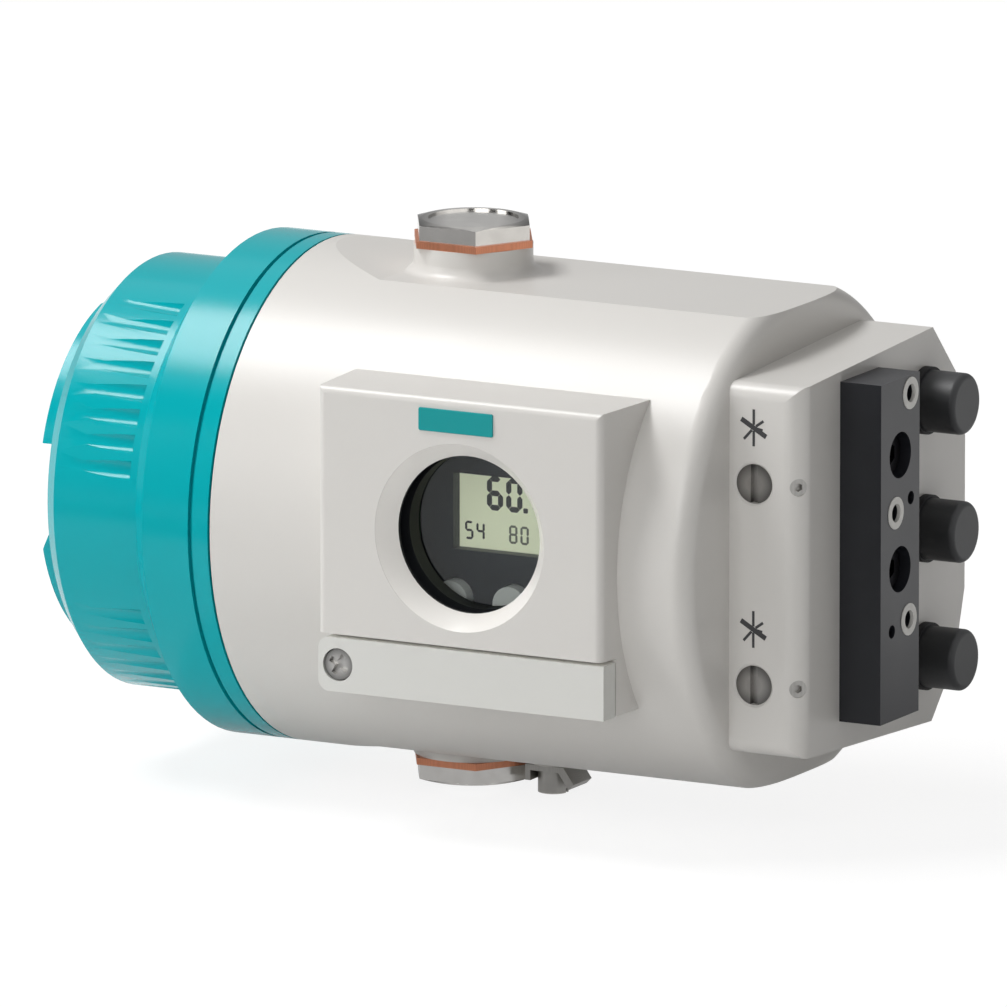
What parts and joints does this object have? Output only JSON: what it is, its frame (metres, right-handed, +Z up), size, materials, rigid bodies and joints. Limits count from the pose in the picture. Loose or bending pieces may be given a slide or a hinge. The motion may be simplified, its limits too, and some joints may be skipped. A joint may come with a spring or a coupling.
{
  "type": "valve positioner",
  "caption": "Flameproof electro-pneumatic valve positioner: round grey housing with a display window, teal screw cover, pneumatic connection end and a rear feedback shaft.",
  "frame": {"origin": "on the feedback shaft's axis at the rear mounting face, midway between the mounting holes", "axes": "+X along the housing to its pneumatic end, +Y out of the back along the feedback shaft, +Z up"},
  "size_m": [0.2322, 0.1395, 0.1492],
  "materials": {
    "body_paint": "light warm grey semi-gloss paint on cast aluminium",
    "cover_paint": "teal semi-gloss paint on cast aluminium",
    "seal_rubber": "matt black rubber",
    "window_glass": "clear polished glass",
    "bare_aluminium": "machined",
    "screw_steel": "plain turned steel",
    "plug_steel": "bright turned stainless steel",
    "copper": "plain copper",
    "module_plastic": "black moulded plastic",
    "display": "grey green liquid crystal display",
    "key_plastic": "grey moulded plastic",
    "rod_steel": "ground stainless steel",
    "board": "green solder mask",
    "valve_metal": "anodised",
    "black_anodised": "black anodised",
    "black_screw": "blackened steel",
    "ring_plastic": "off white moulded plastic",
    "plug_plastic": "black moulded plastic",
    "bronze": "sintered bronze",
    "gear_plastic": "natural acetal"
  },
  "bodies": {
    "housing_body": {"housing": "body_paint", "window_seal": "seal_rubber", "window_glass": "window_glass", "window_retaining_ring": "black_anodised", "button_plate_screw": "screw_steel", "display_module": "module_plastic", "lcd_panel": "display", "circuit_board": "board", "carrier_plate": "bare_aluminium", "carrier_screws": "screw_steel", "terminal_block": "module_plastic", "terminal_screws": "screw_steel", "piezo_valve_block": "valve_metal", "upper_entry_washer": "copper", "upper_entry_plug": "plug_steel", "lower_entry_washer": "copper", "lower_entry_plug": "plug_steel", "earth_clamp": "bare_aluminium", "earth_screw": "screw_steel", "throttle_lock_screws": "screw_steel", "connection_block": "black_anodised", "connection_block_screws": "black_screw", "port_seal_rings": "ring_plastic", "shaft_bush": "bronze", "potentiometer": "module_plastic"},
    "cover_seal_body": {"cover_o_ring": "seal_rubber"},
    "cover_body": {"screw_cover": "cover_paint"},
    "plate_body": {"button_plate": "body_paint"},
    "key_body_1": {"push_rod_1": "rod_steel", "key_cap_1": "key_plastic"},
    "key_body_2": {"push_rod_2": "rod_steel", "key_cap_2": "key_plastic"},
    "key_body_3": {"push_rod_3": "rod_steel", "key_cap_3": "key_plastic"},
    "throttle_upper_body": {"throttle_screw_upper": "screw_steel"},
    "throttle_lower_body": {"throttle_screw_lower": "screw_steel"},
    "plug_seal_body_1": {"port_plug_seal_1": "seal_rubber"},
    "plug_body_1": {"port_plug_1": "plug_plastic"},
    "plug_seal_body_2": {"port_plug_seal_2": "seal_rubber"},
    "plug_body_2": {"port_plug_2": "plug_plastic"},
    "plug_seal_body_3": {"port_plug_seal_3": "seal_rubber"},
    "plug_body_3": {"port_plug_3": "plug_plastic"},
    "shaft_body": {"feedback_shaft": "rod_steel", "drive_gear": "gear_plastic"},
    "pinion_body": {"pot_pinion": "gear_plastic"}
  },
  "joints": [
    {"name": "cover_slide", "type": "slide", "parent": "housing_body", "child": "cover_seal_body", "axis": [-1, 0, 0], "range_m": [0, 0.0161]},
    {"name": "cover_turn", "type": "hinge", "parent": "cover_seal_body", "child": "cover_body", "pos_m": [-0.0768, -0.05, 0], "axis": [-1, 0, 0], "range_deg": [0, 2880]},
    {"name": "plate_swing", "type": "hinge", "parent": "housing_body", "child": "plate_body", "pos_m": [-0.03535, -0.12, -0.0291], "axis": [0, 1, 0], "range_deg": [0, 100]},
    {"name": "key_press_1", "type": "slide", "parent": "housing_body", "child": "key_body_1", "axis": [0, 1, 0], "range_m": [0, 0.002], "stiffness_N_per_m": 600, "springref_m": -0.001},
    {"name": "key_press_2", "type": "slide", "parent": "housing_body", "child": "key_body_2", "axis": [0, 1, 0], "range_m": [0, 0.002], "stiffness_N_per_m": 600, "springref_m": -0.001},
    {"name": "key_press_3", "type": "slide", "parent": "housing_body", "child": "key_body_3", "axis": [0, 1, 0], "range_m": [0, 0.002], "stiffness_N_per_m": 600, "springref_m": -0.001},
    {"name": "throttle_turn_upper", "type": "hinge", "parent": "housing_body", "child": "throttle_upper_body", "pos_m": [0.0684, -0.085, 0.0225], "axis": [0, 1, 0], "range_deg": [0, 1080]},
    {"name": "throttle_turn_lower", "type": "hinge", "parent": "housing_body", "child": "throttle_lower_body", "pos_m": [0.0684, -0.085, -0.03], "axis": [0, 1, 0], "range_deg": [0, 1080]},
    {"name": "plug_slide_1", "type": "slide", "parent": "housing_body", "child": "plug_seal_body_1", "axis": [1, 0, 0], "range_m": [0, 0.00802]},
    {"name": "plug_turn_1", "type": "hinge", "parent": "plug_seal_body_1", "child": "plug_body_1", "pos_m": [0.0842, -0.024, 0.0336], "axis": [1, 0, 0], "range_deg": [0, 2180]},
    {"name": "plug_slide_2", "type": "slide", "parent": "housing_body", "child": "plug_seal_body_2", "axis": [1, 0, 0], "range_m": [0, 0.00802]},
    {"name": "plug_turn_2", "type": "hinge", "parent": "plug_seal_body_2", "child": "plug_body_2", "pos_m": [0.0842, -0.024, 0], "axis": [1, 0, 0], "range_deg": [0, 2180]},
    {"name": "plug_slide_3", "type": "slide", "parent": "housing_body", "child": "plug_seal_body_3", "axis": [1, 0, 0], "range_m": [0, 0.00802]},
    {"name": "plug_turn_3", "type": "hinge", "parent": "plug_seal_body_3", "child": "plug_body_3", "pos_m": [0.0842, -0.024, -0.0336], "axis": [1, 0, 0], "range_deg": [0, 2180]},
    {"name": "shaft_turn", "type": "hinge", "parent": "housing_body", "child": "shaft_body", "pos_m": [0, 0, 0], "axis": [0, 1, 0], "range_deg": [-50, 50]},
    {"name": "pinion_turn", "type": "hinge", "parent": "housing_body", "child": "pinion_body", "pos_m": [0, -0.018, -0.032], "axis": [0, 1, 0], "range_deg": [-151, 151]}
  ],
  "couplings": [
    {"joint": "cover_slide", "follows": "cover_turn", "m_per_rad": 0.00031831},
    {"joint": "plug_turn_1", "follows": "plug_slide_1", "rad_per_m": 4699.5},
    {"joint": "plug_turn_2", "follows": "plug_slide_2", "rad_per_m": 4699.5},
    {"joint": "plug_turn_3", "follows": "plug_slide_3", "rad_per_m": 4699.5},
    {"joint": "pinion_turn", "follows": "shaft_turn", "ratio": -3}
  ]
}
